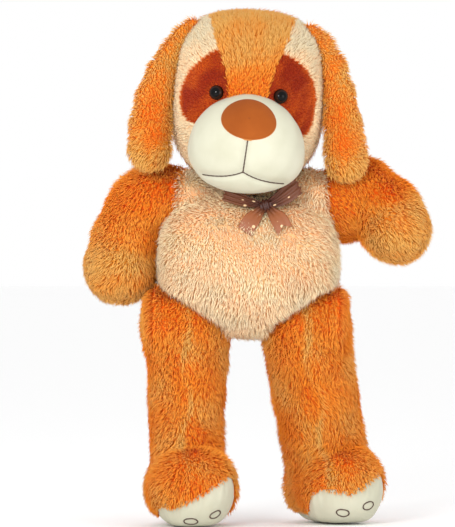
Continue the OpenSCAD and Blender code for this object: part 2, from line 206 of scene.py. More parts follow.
def buildMesh(name, points, faceGroups, fields, uv=None):
    # faceGroups is a list of face arrays, each with one number of corners
    mesh = bpy.data.meshes.new(name)
    loops = np.concatenate([f.reshape(-1) for f in faceGroups]).astype(np.int32)
    sizes = np.concatenate([np.full(len(f), f.shape[1]) for f in faceGroups])
    starts = np.concatenate([[0], np.cumsum(sizes)[:-1]]).astype(np.int32)
    mesh.vertices.add(len(points))
    mesh.vertices.foreach_set("co", points.astype(np.float32).reshape(-1))
    mesh.loops.add(len(loops))
    mesh.loops.foreach_set("vertex_index", loops)
    mesh.polygons.add(len(sizes))
    mesh.polygons.foreach_set("loop_start", starts)
    mesh.update(calc_edges=True)
    mesh.polygons.foreach_set("use_smooth", np.ones(len(sizes), bool))
    for field, values in fields.items():
        mesh.attributes.new(field, "FLOAT", "POINT").data.foreach_set("value", values.astype(np.float32))
    if uv is not None:
        layer = mesh.uv_layers.new(name="OFBake")
        layer.data.foreach_set("uv", uv[loops].astype(np.float32).reshape(-1))
    obj = bpy.data.objects.new(name, mesh)
    bpy.context.scene.collection.objects.link(obj)
    return obj


def scatter(points, quads, spacing, draw):
    # even random roots on the quads, at most one in each small cube of space
    tris = np.concatenate([quads[:, [0, 1, 2]], quads[:, [0, 2, 3]]])
    a, b, c = (points[tris[:, i]] for i in range(3))
    area = np.linalg.norm(np.cross(b - a, c - a), axis=1) / 2
    wanted = int(area.sum() / spacing ** 2 * 3.2)
    pick = draw.choice(len(tris), wanted, p=area / area.sum())
    u = np.sqrt(draw.random(wanted))
    v = draw.random(wanted)
    weights = np.stack([1 - u, u * (1 - v), u * v], axis=1)
    roots = (points[tris[pick]] * weights[:, :, None]).sum(axis=1)
    cube = np.floor(roots / (spacing * 0.98)).astype(np.int64)
    key = (cube[:, 0] * 4001 + cube[:, 1]) * 4001 + cube[:, 2]
    first = np.unique(key, return_index=True)[1]
    return roots[np.sort(first)]


def clumpPull(roots, size, seed):
    # the way from each root to the middle of its clump, clumps being jittered cubes of space
    cell = np.floor(roots / size).astype(np.int64)
    best = np.full(len(roots), np.inf)
    pull = np.zeros_like(roots)
    for dx in (-1, 0, 1):
        for dy in (-1, 0, 1):
            for dz in (-1, 0, 1):
                near = cell + np.array([dx, dy, dz])
                mix = near[:, 0] * 73856093 ^ near[:, 1] * 19349663 ^ near[:, 2] * 83492791 ^ seed
                jitter = np.stack([((mix * k) % 1013) / 1013 for k in (17, 31, 57)], axis=1)
                middle = (near + jitter) * size
                gap = np.linalg.norm(roots - middle, axis=1)
                closer = gap < best
                best[closer] = gap[closer]
                pull[closer] = (middle - roots)[closer]
    return pull


def growPile(roots, outward, nap, style, draw, lengthScale=1.0):
    # each tuft is a closed, bent, three-sided spike: root ring, middle ring, tip
    count = len(roots)
    nap = nap + style["wild"] * np.stack([ripple(roots, style["swirl"], k) for k in (1, 2, 3)], axis=1)
    nap = nap + style["stray"] * draw.normal(size=(count, 3))
    nap = unit(nap - outward * np.sum(nap * outward, axis=1, keepdims=True))
    length = style["length"] * draw.uniform(0.7, 1.15, count) * lengthScale
    lean = style["lean"] + 14 * ripple(roots, style["swirl"] * 1.3, 9)
    lean = np.radians(lean + 7 * draw.normal(size=count))
    lean = np.clip(lean, 0.1, 1.45)
    lower = outward * np.cos(lean * 0.6)[:, None] + nap * np.sin(lean * 0.6)[:, None]
    upper = outward * np.cos(lean * 1.25)[:, None] + nap * np.sin(lean * 1.25)[:, None]
    pull = clumpPull(roots, style["clump"], style["seed"])
    pull = pull - outward * np.sum(pull * outward, axis=1, keepdims=True)
    foot = roots - outward * 0.8 * mm
    middle = roots + lower * (length * 0.5)[:, None] + pull * style["gather"] * 0.4
    tip = middle + upper * (length * 0.5)[:, None] + pull * style["gather"] * 0.6
    width = style["width"] * draw.uniform(0.7, 1.2, count)
    across = unit(np.cross(nap, outward))
    points = np.empty((count, 7, 3))
    for ring, (place, share) in enumerate(((foot, 0.5), (middle, 0.36))):
        other = unit(np.cross(across, lower))
        for k in range(3):
            turn = 2 * math.pi * k / 3 + 0.5
            way = math.cos(turn) * across + math.sin(turn) * other
            points[:, ring * 3 + k] = place + way * (width * share)[:, None]
    points[:, 6] = tip
    base = (np.arange(count) * 7)[:, None]
    quads = np.concatenate([base + np.array(q) for q in ((0, 1, 4, 3), (1, 2, 5, 4), (2, 0, 3, 5))])
    tris = np.concatenate([base + np.array(t) for t in ((3, 4, 6), (4, 5, 6), (5, 3, 6), (0, 2, 1))])
    along = np.tile([0, 0, 0, 0.55, 0.55, 0.55, 1.0], count)
    return points.reshape(-1, 3), quads, tris, along


def furPanel(name, form, chosen, style, napOf, toneOf, material, lengthOf=None):
    # one sewn panel of plush: its cloth, and the pile standing on it
    points, quads, outward, shape = form
    quads = quads[chosen]
    kept, flat = np.unique(quads, return_inverse=True)
    points = points[kept]
    outward = outward[kept]
    quads = flat.reshape(-1, 4)
    draw = np.random.default_rng(style["seed"] + len(points))
    roots = scatter(points, quads, style["spacing"], draw)
    rootsOut = slope(shape, roots)
    scale = 1.0 if lengthOf is None else lengthOf(roots)
    pile, pileQuads, pileTris, along = growPile(roots, rootsOut, napOf(roots), style, draw, scale)
    tone = np.clip(toneOf(roots) + 0.1 * draw.normal(size=len(roots)), 0, 1)
    clothPoints, clothQuads = thicken(points, quads, outward, 2 * mm)
    clothTone = np.clip(toneOf(clothPoints), 0, 1)
    start = len(clothPoints)
    allPoints = np.concatenate([clothPoints, pile])
    allTone = np.concatenate([clothTone, np.repeat(tone, 7)])
    allAlong = np.concatenate([np.zeros(start), along])
    uv = np.stack([0.02 + 0.96 * allTone, 0.02 + 0.96 * allAlong], axis=1)
    obj = buildMesh(name, allPoints, [np.concatenate([clothQuads, pileQuads + start]), pileTris + start],
                    {"tone": allTone, "along": allAlong}, uv)
    obj.data.materials.append(material)
    return obj


def makeForm(shape, low, high, step):
    points, quads = skin(shape, low, high, step)
    return points, quads, slope(shape, points), shape


def faceMiddles(form):
    return form[0][form[1]].mean(axis=1)


# ---- materials ----

def srgb(r, g, b):
    shares = [c / 255 for c in (r, g, b)]
    return tuple(c / 12.92 if c <= 0.04045 else ((c + 0.055) / 1.055) ** 2.4 for c in shares) + (1,)


def newMaterial(name):
    material = bpy.data.materials.new(name)
    material.use_nodes = True
    nodes = material.node_tree.nodes
    return material, nodes, material.node_tree.links, nodes["Principled BSDF"]


pile = {
    "roughness": 0.72,
    "specular": 0.18,
    "sheen": 0.04,
    "sheenRoughness": 0.5,
}


def pileMaterial(name, roots, tips, rootShare=0.0):
    # roots and tips are colours from tone 0 to tone 1; each tuft runs from its root colour to its tip
    # colour. The lighter tip colours are painted light: they stand in for rim light shining through the
    # fibre tips, which pales the edges
    material, nodes, links, shader = newMaterial(name)
    ramps = []
    for colours in (roots, tips):
        tone = nodes.new("ShaderNodeAttribute")
        tone.attribute_name = "tone"
        ramp = nodes.new("ShaderNodeValToRGB")
        while len(ramp.color_ramp.elements) < len(colours):
            ramp.color_ramp.elements.new(0.5)
        for k, colour in enumerate(colours):
            ramp.color_ramp.elements[k].position = k / (len(colours) - 1)
            ramp.color_ramp.elements[k].color = srgb(*colour)
        links.new(tone.outputs["Fac"], ramp.inputs["Fac"])
        ramps.append(ramp)
    along = nodes.new("ShaderNodeAttribute")
    along.attribute_name = "along"
    rise = nodes.new("ShaderNodeMapRange")
    rise.inputs["From Min"].default_value = rootShare
    links.new(along.outputs["Fac"], rise.inputs["Value"])
    mix = nodes.new("ShaderNodeMix")
    mix.data_type = "RGBA"
    links.new(rise.outputs["Result"], mix.inputs["Factor"])
    links.new(ramps[0].outputs["Color"], mix.inputs["A"])
    links.new(ramps[1].outputs["Color"], mix.inputs["B"])
    links.new(mix.outputs["Result"], shader.inputs["Base Color"])
    shader.inputs["Roughness"].default_value = pile["roughness"]
    shader.inputs["Specular IOR Level"].default_value = pile["specular"]
    shader.inputs["Sheen Weight"].default_value = pile["sheen"]
    shader.inputs["Sheen Roughness"].default_value = pile["sheenRoughness"]
    return material


def velboaMaterial(name, colour, shade, edge=None, size=1.1 * mm):
    # short smooth pile: fine grain with faint brushed patches
    material, nodes, links, shader = newMaterial(name)
    where = nodes.new("ShaderNodeTexCoord")
    brushed = nodes.new("ShaderNodeTexNoise")
    brushed.inputs["Scale"].default_value = 22
    brushed.inputs["Detail"].default_value = 3
    grain = nodes.new("ShaderNodeTexNoise")
    grain.inputs["Scale"].default_value = 1 / size
    grain.inputs["Detail"].default_value = 2
    for texture in (brushed, grain):
        links.new(where.outputs["Object"], texture.inputs["Vector"])
    ramp = nodes.new("ShaderNodeValToRGB")
    ramp.color_ramp.elements[0].position = 0.3
    ramp.color_ramp.elements[1].position = 0.72
    ramp.color_ramp.elements[0].color = srgb(*shade)
    ramp.color_ramp.elements[1].color = srgb(*colour)
    links.new(brushed.outputs["Fac"], ramp.inputs["Fac"])
    links.new(ramp.outputs["Color"], shader.inputs["Base Color"])
    if edge:
        rim = nodes.new("ShaderNodeAttribute")
        rim.attribute_name = "rim"
        mix = nodes.new("ShaderNodeMix")
        mix.data_type = "RGBA"
        links.new(rim.outputs["Fac"], mix.inputs["Factor"])
        links.new(ramp.outputs["Color"], mix.inputs["A"])
        mix.inputs["B"].default_value = srgb(*edge)
        links.new(mix.outputs["Result"], shader.inputs["Base Color"])
    bump = nodes.new("ShaderNodeBump")
    bump.inputs["Strength"].default_value = 0.35
    bump.inputs["Distance"].default_value = 0.4 * mm
    links.new(grain.outputs["Fac"], bump.inputs["Height"])
    links.new(bump.outputs["Normal"], shader.inputs["Normal"])
    shader.inputs["Roughness"].default_value = 0.8
    shader.inputs["Specular IOR Level"].default_value = 0.2
    shader.inputs["Sheen Weight"].default_value = 0.08
    shader.inputs["Sheen Roughness"].default_value = 0.4
    return material


# painted light: in each pile material the tip colours are lighter than the root colours, standing in for rim
# light through the fibre tips
orangePile = pileMaterial("orangePile", [(218, 138, 36), (232, 118, 14), (232, 98, 2)],
                          [(252, 200, 112), (255, 180, 74), (255, 160, 44)])
# painted shade: the greyer, darker tone-1 end of the cream pile is a shade colour; the belly's flanks and
# the upper cheeks are pushed towards it
creamPile = pileMaterial("creamPile", [(246, 202, 144), (252, 196, 142), (230, 200, 150)],
                         [(255, 248, 214), (255, 238, 198), (250, 238, 208)])
rustPile = pileMaterial("rustPile", [(132, 26, 0), (176, 52, 0)], [(184, 54, 0), (236, 112, 20)])
whiteVelboa = velboaMaterial("whiteVelboa", (196, 194, 174), (186, 184, 162))
noseVelboa = velboaMaterial("noseVelboa", (152, 76, 18), (138, 66, 12), edge=(220, 150, 84))

print("materials ready")

# ---- pile styles ----

longPile = {"spacing": 2.3 * mm, "length": 14 * mm, "width": 1.5 * mm, "lean": 50, "clump": 8 * mm,
            "gather": 0.36, "wild": 0.45, "stray": 0.16, "swirl": 90 * mm, "seed": 5}
facePile = dict(longPile, spacing=1.8 * mm, length=10 * mm, width=1.25 * mm, lean=54, wild=0.25, seed=8)
patchPile = dict(longPile, spacing=1.5 * mm, length=3.8 * mm, width=1.3 * mm, lean=46, clump=5 * mm,
                 gather=0.3, wild=0.3, seed=14)

down = np.array([0, 0, -1.0])


def flow(direction):
    return lambda p: np.tile(np.array(direction, float), (len(p), 1))


# ---- torso ----

torso = {
    "radii": (125 * mm, 95 * mm, 98 * mm),
    "fullness": 3.0,
    "legGap": 2 * mm,
    "armGap": 2 * mm,
    "seamY": 6 * mm,
}
arms = {
    left: {"line": [(0, 0, 4), (26, -3, 20), (57, -18, -8), (73, -36, -32)], "radii": [48, 44, 45, 46]},
    right: {"line": [(0, 0, 4), (-15, -3, -4), (-37, -8, -52), (-47, -14, -88)], "radii": [48, 45, 46, 49]},
    "inset": {left: 2 * mm, right: 22 * mm},
    "root": 50 * mm,
}
torsoMiddle = nodeMiddle("torso_stuffing")
hips = {side: joints["hip_" + sideName[side]] for side in (left, right)}
shoulders = {side: joints["shoulder_" + sideName[side]] for side in (left, right)}
neck = joints["neck_turn"]
leg = {
    "hip": 54 * mm,
    "half": 57 * mm,
    "asides": np.array([-60, -56, -38, -20, 0, 15, 35, 48, 58]) * mm,
    "rises": np.array([4, 9, 19, 31, 45, 53, 58, 57, 44]) * mm,
}


def legTop(aside, rise):
    # the end of a leg is turned about the hip's axis, and slopes down towards the crotch
    outline = np.interp(aside, leg["asides"], leg["rises"])
    sides = np.abs(aside - 1 * mm) - leg["half"]
    return np.maximum((rise - outline) * 0.8, sides)


def torsoShape(p):
    q = p - torsoMiddle
    wide, deep, tall = torso["radii"]
    round2 = np.sqrt((q[:, 1] / deep) ** 2 + (q[:, 2] / tall) ** 2)
    squareness = torso["fullness"]
    d = ((np.abs(q[:, 0] / wide) ** squareness + round2 ** squareness) ** (1 / squareness) - 1) * 95 * mm
    belly = ball(p, torsoMiddle + np.array([0, -14, -16]) * mm, np.array([96, 86, 88]) * mm)
    d = join(d, belly, 20 * mm)
    for side in (left, right):
        mound = shoulders[side] + np.array([-side * 53 * mm, -12 * mm, 5 * mm])
        d = join(d, ball(p, mound, (44 * mm,) * 3), 16 * mm)
    for side in (left, right):
        hip = hips[side]
        q = p - hip
        rise = np.sqrt(np.maximum(q[:, 1], 0) ** 2 + np.maximum(q[:, 2], 0) ** 2)
        hollow = legTop(side * q[:, 0], rise) - torso["legGap"]
        d = carve(d, hollow, 4 * mm)
        q = p - shoulders[side]
        inward = np.clip(-side * q[:, 0], 0, arms["inset"][side])
        q[:, 0] += side * inward
        d = carve(d, np.linalg.norm(q, axis=1) - arms["root"] - torso["armGap"], 6 * mm)
    return d


torsoForm = makeForm(torsoShape, torsoMiddle - 0.15, torsoMiddle + 0.15, 4.5 * mm)
middles = faceMiddles(torsoForm)
seam = torsoMiddle[1] + torso["seamY"]
# painted shade: the belly's flanks, beyond 115 mm from the middle, are pushed 0.25 towards the cream pile's
# greyer shade end; the ripple is random tone
bellyToneAndShade = lambda p: 0.45 + 0.5 * ripple(p, 0.09, 21) + 0.25 * (np.abs(p[:, 0] - torsoMiddle[0]) > 0.115)
plushTone = lambda p: 0.6 + 0.45 * ripple(p, 0.11, 23)


def legEdge(p):
    # one at the edge of the hollows that the legs sit in, zero away from it
    near = np.full(len(p), 1.0)
    for side in (left, right):
        q = p - hips[side]
        near = np.minimum(near, np.hypot(q[:, 0], np.maximum(q[:, 2], 0)) - leg["hip"])
    return smooth(1 - near / (16 * mm))


def bellyNap(p):
    outward = np.zeros_like(p)
    for side in (left, right):
        q = hips[side] - p
        near = np.exp(-(np.linalg.norm(q, axis=1) / (75 * mm)) ** 4)
        outward += unit(q) * near[:, None] * legEdge(p)[:, None] * 1.2
    return down + outward


belly = furPanel("bellyPlush", torsoForm, middles[:, 1] < seam, dict(longPile, spacing=2.6 * mm, seed=31),
                 bellyNap, bellyToneAndShade, creamPile, lambda p: 1 + 0.5 * legEdge(p))
back = furPanel("backPlush", torsoForm, middles[:, 1] >= seam, dict(longPile, spacing=2.6 * mm, seed=32),
                flow((0, 0, -1)), plushTone, orangePile)
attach(belly, "torso")
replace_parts(belly, "belly_cover")
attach(back, "torso")
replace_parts(back, "back_cover", "torso_stuffing")
print("torso done")

# ---- neck ----

neckBall = {"radius": 42 * mm}
neckForm = makeForm(lambda p: ball(p, neck, (neckBall["radius"],) * 3), neck - 0.06, neck + 0.06, 5 * mm)
neckPlush = furPanel("neckPlush", neckForm, np.ones(len(neckForm[1]), bool),
                     dict(longPile, length=8 * mm, seed=35),
                     flow((0, 0, -1)), plushTone, orangePile)
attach(neckPlush, "neck")
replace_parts(neckPlush, "neck_stuffing")

# ---- head ----

head = {
    "radii": np.array([106, 104, 122]) * mm,
    "lean": math.radians(3.5),
    "seamY": 4 * mm,
}
headLow, headHigh = nodeBox("head_back_cover")
headSeamY = headLow[1]
headMiddle = np.array([(headLow[0] + headHigh[0]) / 2, headSeamY - head["seamY"], headHigh[2] - 130 * mm])
leanCos, leanSin = math.cos(head["lean"]), math.sin(head["lean"])


def inHead(p):
    # a point in the head's own frame, upright and centred
    q = p - headMiddle
    return np.stack([q[:, 0] * leanCos - q[:, 2] * leanSin, q[:, 1],
                     q[:, 0] * leanSin + q[:, 2] * leanCos], axis=1)


def fromHead(q):
    q = np.atleast_2d(np.array(q, float))
    return headMiddle + np.stack([q[:, 0] * leanCos + q[:, 2] * leanSin, q[:, 1],
                                  -q[:, 0] * leanSin + q[:, 2] * leanCos], axis=1)


def skullLocal(q):
    full = 2.6 + 0.35 * smooth(q[:, 2] / 0.08)
    r = head["radii"]
    round3 = 2.15
    across = (np.abs(q[:, 0] / r[0]) ** full + np.abs(q[:, 2] / r[2]) ** full) ** (round3 / full)
    return ((across + np.abs(q[:, 1] / r[1]) ** round3) ** (1 / round3) - 1) * 105 * mm


muzzle = {
    "middle": np.array([2, -88, -69]) * mm,
    "radii": np.array([83.5, 70, 72]) * mm,
    "taper": 0.13,
    "mouthDepth": 3.2 * mm,
    "mouthWidth": 5 * mm,
    "step": 2.4 * mm,
}
mouth = {
    "top": (3, -64),
    "fork": (-1.0, -111),
    "ends": {left: (58, -123), right: (-58, -117)},
    "sag": 5,
    "thread": 0.95 * mm,
}


def mouthLines():
    # the sewn mouth seen from the front, in the head's own frame
    top, fork = (np.array(mouth[k]) * mm for k in ("top", "fork"))
    lines = [np.linspace(top, fork, 14)]
    for side in (left, right):
        end = np.array(mouth["ends"][side]) * mm
        t = np.linspace(0, 1, 16)[:, None]
        dip = np.array([0, 4 * mouth["sag"] * mm]) * t * (1 - t) * (1 - 0.3 * t)
        lines.append(fork + t * (end - fork) - dip)
    return lines


mouthPaths = mouthLines()


def nearMouth(q):
    best = np.full(len(q), 1.0)
    for line in mouthPaths:
        for a, b in zip(line[:-1], line[1:]):
            span = b - a
            t = np.clip((q[:, [0, 2]] - a) @ span / (span @ span), 0, 1)
            best = np.minimum(best, np.linalg.norm(q[:, [0, 2]] - a - t[:, None] * span, axis=1))
    return best


def muzzleLocal(q, groove=True):
    m = muzzle["middle"]
    r = muzzle["radii"]
    t = (q[:, 2] - m[2]) / r[2]
    shaped = q.copy()
    shaped[:, 0] = m[0] + (q[:, 0] - m[0]) / (1 - muzzle["taper"] * np.clip(t, -1, 1))
    d = softBox(shaped, m, r, 2.05) + 0.9 * mm * ripple(q, 0.07, 33)
    if groove:
        front = smooth((m[1] - q[:, 1]) / (20 * mm))
        d = d + front * muzzle["mouthDepth"] * np.exp(-(nearMouth(q) / muzzle["mouthWidth"]) ** 2)
    return d


def skullShape(p):
    q = inHead(p)
    d = skullLocal(q)
    return carve(d, np.linalg.norm(p - neck, axis=1) - 47 * mm, 6 * mm)


headForm = makeForm(skullShape, headMiddle - 0.145, headMiddle + 0.145, 4 * mm)
middles = faceMiddles(headForm)
face = inHead(middles) / mm
crownEdge = lambda z: np.interp(z, [-60, 0, 12, 33, 58, 66, 102, 140], [25, 25, 29, 33, 42, 47, 58, 70])


patchEdge = {
    left: ((-62, -54, -50, -42, -25, 1, 24, 45, 57, 61), (60, 76, 85, 90, 94, 96, 92, 78, 60, 48)),
    right: ((-52, -44, -41, -36, -28, -9, 8, 32, 50, 61), (60, 72, 82, 88, 92, 97, 95, 84, 66, 50)),
}


def patchGap(q, side):
    # below zero inside an eye patch, seen from the front
    x = side * q[:, 0]
    z = q[:, 2]
    heights, outer = patchEdge[side]
    return np.maximum(x - np.interp(z, heights, outer), np.maximum(z - heights[-1], heights[0] - z))


front = middles[:, 1] < headSeamY
isCrown = front & (np.abs(face[:, 0]) < crownEdge(face[:, 2])) & (face[:, 2] > -30)
isPatch = {side: front & ~isCrown & (patchGap(face, side) < 0) & (side * face[:, 0] > 0)
           for side in (left, right)}
isCheek = {side: front & ~isCrown & ~isPatch[side] & (side * face[:, 0] > 0) for side in (left, right)}


def awayFromNose(p):
    q = inHead(p)
    flowOut = q - np.array([0, -150, -40]) * mm
    return unit(fromHead(flowOut) - headMiddle)


crownTone = lambda p: (0.15 + 0.8 * smooth((70 * mm - inHead(p)[:, 2]) / (80 * mm))
                       + 0.25 * ripple(p, 0.06, 41))
crown = furPanel("crownPlush", headForm, isCrown, dict(facePile, seed=42), awayFromNose,
                 crownTone, orangePile)
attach(crown, "head")
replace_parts(crown, "crown_cover")
headBack = furPanel("headBackPlush", headForm, ~front, dict(longPile, spacing=2.6 * mm, seed=43),
                    flow((0, 0.4, -1)), plushTone, orangePile)
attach(headBack, "head")
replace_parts(headBack, "head_back_cover", "head_stuffing")
for side in (left, right):
    name = sideName[side]
    # painted shade: from 50 mm to 80 mm up the head the cheek turns towards the cream pile's greyer shade
    # end; the ripple is random tone
    cheekToneAndShade = lambda p: (0.5 + 0.5 * smooth((inHead(p)[:, 2] - 50 * mm) / (30 * mm))
                           + 0.3 * ripple(p, 0.05, 44))
    cheek = furPanel("cheekPlush_" + name, headForm, isCheek[side],
                     dict(facePile, seed=45 + side), awayFromNose,
                     cheekToneAndShade, creamPile)
    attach(cheek, "head")
    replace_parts(cheek, "cheek_cover_" + name)
    patchTone = lambda p: (0.35 + 0.5 * ripple(p, 0.05, 46)
                           + 0.8 * smooth((patchGap(inHead(p) / mm, side) + 4) / 4))
    patch = furPanel("eyePatch_" + name, headForm, isPatch[side],
                     dict(patchPile, seed=48 + side), awayFromNose,
                     patchTone, rustPile)
    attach(patch, "head")
    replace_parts(patch, "eye_patch_" + name)
print("head done")

# ---- muzzle, nose and mouth ----

muzzleAt = fromHead(muzzle["middle"])[0]
muzzleForm = makeForm(lambda p: muzzleLocal(inHead(p)), muzzleAt - 0.1, muzzleAt + 0.1, muzzle["step"])
outside = skullLocal(inHead(faceMiddles(muzzleForm))) > -8 * mm
points, quads, outward, shape = muzzleForm
kept, flat = np.unique(quads[outside], return_inverse=True)
cloth, clothQuads = thicken(points[kept], flat.reshape(-1, 4), outward[kept], 2 * mm)
muzzleCloth = buildMesh("muzzleVelboa", cloth, [clothQuads], {})
muzzleCloth.data.materials.append(whiteVelboa)
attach(muzzleCloth, "head")
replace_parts(muzzleCloth, "muzzle_cover", "muzzle_stuffing")


def ontoMuzzle(x, z, groove=True):
    # the point on the muzzle behind a place seen from the front, in the head's own frame
    y = np.full(len(x), -170 * mm)
    for step in range(40):
        y = y + 0.8 * muzzleLocal(np.stack([x, y, z], axis=1), groove)
    return np.stack([x, y, z], axis=1)


nose = {"middle": (3, -36), "size": (82, 61), "tilt": 6, "egg": 0.1, "puff": 2.2 * mm,
        "rings": 14, "around": 72}


def nosePatch():
    tilt = math.radians(nose["tilt"])
    points = []
    for ring in range(nose["rings"] + 1):
        share = ring / nose["rings"]
        turn = np.linspace(0, 2 * math.pi, nose["around"], endpoint=False)
        x = nose["size"][0] / 2 * share * np.cos(turn) * (1 - nose["egg"] * np.sin(turn))
        z = nose["size"][1] / 2 * share * np.sin(turn)
        u = (nose["middle"][0] + x * math.cos(tilt) + z * math.sin(tilt)) * mm
        w = (nose["middle"][1] - x * math.sin(tilt) + z * math.cos(tilt)) * mm
        q = ontoMuzzle(u, w, False)
        out = slope(lambda p: muzzleLocal(p, False), q)
        lift = 0.6 * mm + nose["puff"] * (1 - share ** 4)
        if ring == nose["rings"]:
            lift = -1.2 * mm
        points.append(q + out * lift)
    points = fromHead(np.concatenate(points))
    n = nose["around"]
    quads = []
    for ring in range(nose["rings"]):
        for k in range(n):
            quads.append((ring * n + k, ring * n + (k + 1) % n,
                          (ring + 1) * n + (k + 1) % n, (ring + 1) * n + k))
    points[:n] = points[:n].mean(axis=0)
    rim = np.repeat(np.arange(nose["rings"] + 1) >= nose["rings"] - 0.5, n).astype(float)
    return points, np.array(quads)[:, ::-1], rim


points, quads, rim = nosePatch()
outward = slope(lambda p: muzzleLocal(inHead(p), False), points)
points, quads = thicken(points, quads, outward, 2 * mm)
noseObj = buildMesh("noseVelboa", points, [quads], {"rim": np.tile(rim, 2)})
noseObj.data.materials.append(noseVelboa)
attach(noseObj, "head")
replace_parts(noseObj, "nose_patch")



def threadMaterial():
    material, nodes, links, shader = newMaterial("sewingThread")
    where = nodes.new("ShaderNodeTexCoord")
    twist = nodes.new("ShaderNodeTexWave")
    twist.inputs["Scale"].default_value = 260
    twist.inputs["Distortion"].default_value = 2
    links.new(where.outputs["Object"], twist.inputs["Vector"])
    ramp = nodes.new("ShaderNodeValToRGB")
    ramp.color_ramp.elements[0].color = srgb(52, 38, 32)
    ramp.color_ramp.elements[1].color = srgb(96, 74, 62)
    links.new(twist.outputs["Fac"], ramp.inputs["Fac"])
    links.new(ramp.outputs["Color"], shader.inputs["Base Color"])
    shader.inputs["Roughness"].default_value = 0.6
    return material


threadDark = threadMaterial()


def threadTube(name, lines, radius, closed=False):
    # a round thread along each line, with its ply showing as a slow twist
    allPoints, allQuads, caps = [], [], []
    sides = 8
    for line in lines:
        base = sum(len(p) for p in allPoints)
        line = np.array(line)
        count = len(line)
        ahead = np.roll(line, -1, axis=0) - np.roll(line, 1, axis=0)
        if not closed:
            ahead[0] = line[1] - line[0]
            ahead[-1] = line[-1] - line[-2]
        ahead = unit(ahead)
        across = unit(np.cross(ahead, np.array([0.13, 1.0, 0.07])))
        up = np.cross(across, ahead)
        ring = []
        for k in range(sides):
            turn = 2 * math.pi * k / sides + np.arange(count) * 0.5
            r = radius * (1 + 0.14 * math.cos(2 * math.pi * k / sides * 2))
            ring.append(line + across * (r * np.cos(turn))[:, None] + up * (r * np.sin(turn))[:, None])
        allPoints.append(np.stack(ring, axis=1).reshape(-1, 3))
        last = count if closed else count - 1
        for i in range(last):
            for k in range(sides):
                a = base + i * sides + k
                b = base + i * sides + (k + 1) % sides
                c = base + ((i + 1) % count) * sides + (k + 1) % sides
                d = base + ((i + 1) % count) * sides + k
                allQuads.append((a, b, c, d))
        if not closed:
            caps.append([base + k for k in range(sides)][::-1])
            caps.append([base + (count - 1) * sides + k for k in range(sides)])
    groups = [np.array(allQuads)]
    if caps:
        groups.append(np.array(caps))
    obj = buildMesh(name, np.concatenate(allPoints), groups, {})
    obj.data.materials.append(threadDark)
    return obj


lines = []
for path in mouthPaths:
    t = np.linspace(0, 1, 60)
    steps = np.linspace(0, 1, len(path))
    x = np.interp(t, steps, path[:, 0])
    z = np.interp(t, steps, path[:, 1])
    q = ontoMuzzle(x, z)
    lines.append(fromHead(q + slope(muzzleLocal, q) * mouth["thread"] * 0.35))
mouthObj = threadTube("mouthThread", lines, mouth["thread"])
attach(mouthObj, "head")
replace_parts(mouthObj, "mouth_thread")
print("muzzle done")

# ---- eyes ----

eye = {"drop": 4.5 * mm, "radius": 10.5 * mm, "dome": 8.5 * mm, "rim": 1.0 * mm, "around": 48, "rings": 20}


def eyeMaterial():
    material, nodes, links, shader = newMaterial("eyePlastic")
    iris = nodes.new("ShaderNodeAttribute")
    iris.attribute_name = "iris"
    ramp = nodes.new("ShaderNodeValToRGB")
    ramp.color_ramp.elements[0].position = 0.0
    ramp.color_ramp.elements[0].color = srgb(8, 7, 7)
    ramp.color_ramp.elements[1].position = 0.62
    ramp.color_ramp.elements[1].color = srgb(10, 8, 8)
    brown = ramp.color_ramp.elements.new(0.72)
    brown.color = srgb(44, 20, 10)
    edge = ramp.color_ramp.elements.new(0.95)
    edge.color = srgb(26, 12, 8)
    links.new(iris.outputs["Fac"], ramp.inputs["Fac"])
    links.new(ramp.outputs["Color"], shader.inputs["Base Color"])
    shader.inputs["Roughness"].default_value = 0.09
    shader.inputs["Specular IOR Level"].default_value = 0.12
    return material


eyePlastic = eyeMaterial()
washer = {"profile": [(3, -6), (3, -10), (4.5, -10), (5, -7.6), (10, -7), (10, -6), (9, -5.6), (3.4, -5.6)]}


def washerMaterial():
    material, nodes, links, shader = newMaterial("washerPlastic")
    cloud = nodes.new("ShaderNodeTexNoise")
    cloud.inputs["Scale"].default_value = 160
    ramp = nodes.new("ShaderNodeValToRGB")
    ramp.color_ramp.elements[0].color = srgb(206, 206, 198)
    ramp.color_ramp.elements[1].color = srgb(236, 236, 230)
    links.new(cloud.outputs["Fac"], ramp.inputs["Fac"])
    links.new(ramp.outputs["Color"], shader.inputs["Base Color"])
    shader.inputs["Roughness"].default_value = 0.42
    return material


washerPlastic = washerMaterial()


